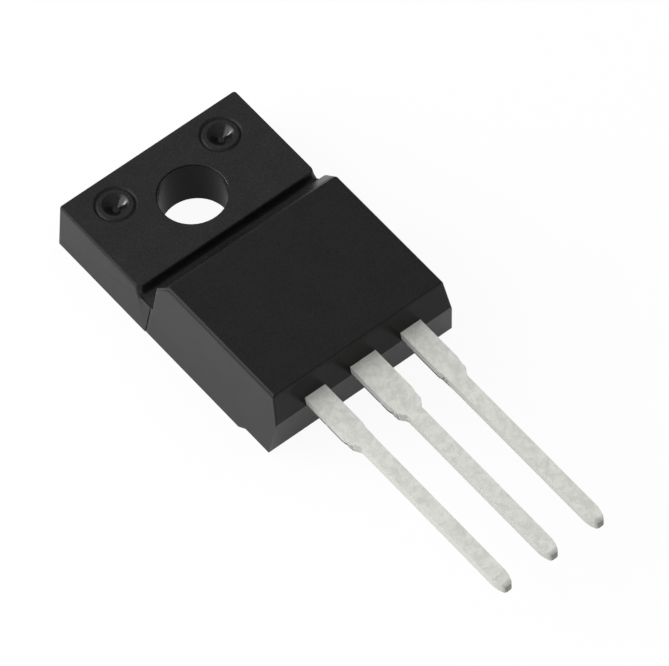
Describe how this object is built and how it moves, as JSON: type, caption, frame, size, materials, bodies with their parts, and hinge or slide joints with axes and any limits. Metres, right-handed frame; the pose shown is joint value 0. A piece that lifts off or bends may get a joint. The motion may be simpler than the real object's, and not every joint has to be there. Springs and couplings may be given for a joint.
{
  "type": "adjustable voltage regulator",
  "caption": "Isolated power package with a screw hole through its thin tab, a stepped thick case and straight leads out of one end.",
  "frame": {"origin": "on the axis of the screw hole, in the plane of the flat back face that a heatsink touches", "axes": "+Z out of the marking face, along the screw hole; +Y towards the tab's end; the leads run along -Y; with the tab up and the marking face in front, the adjust lead is at -X and the input lead at +X"},
  "size_m": [0.0104, 0.0288, 0.0045],
  "materials": {
    "moulding_compound": "near-black mineral-filled epoxy, finely grained by the mould, with a dull gloss",
    "tinned_copper": "matte tin plating on copper, faintly mottled and scratched, greyer at the roots",
    "silicon": "passivated silicon, dark grey and smooth",
    "solder": "dull grey solder",
    "bond_wire": "drawn aluminium wire"
  },
  "bodies": {
    "root": {"moulded_case": "moulding_compound", "output_lead_frame": "tinned_copper", "adjust_lead": "tinned_copper", "input_lead": "tinned_copper", "regulator_die": "silicon", "die_solder": "solder", "adjust_wire": "bond_wire", "output_wire": "bond_wire", "input_wire": "bond_wire"}
  },
  "joints": []
}
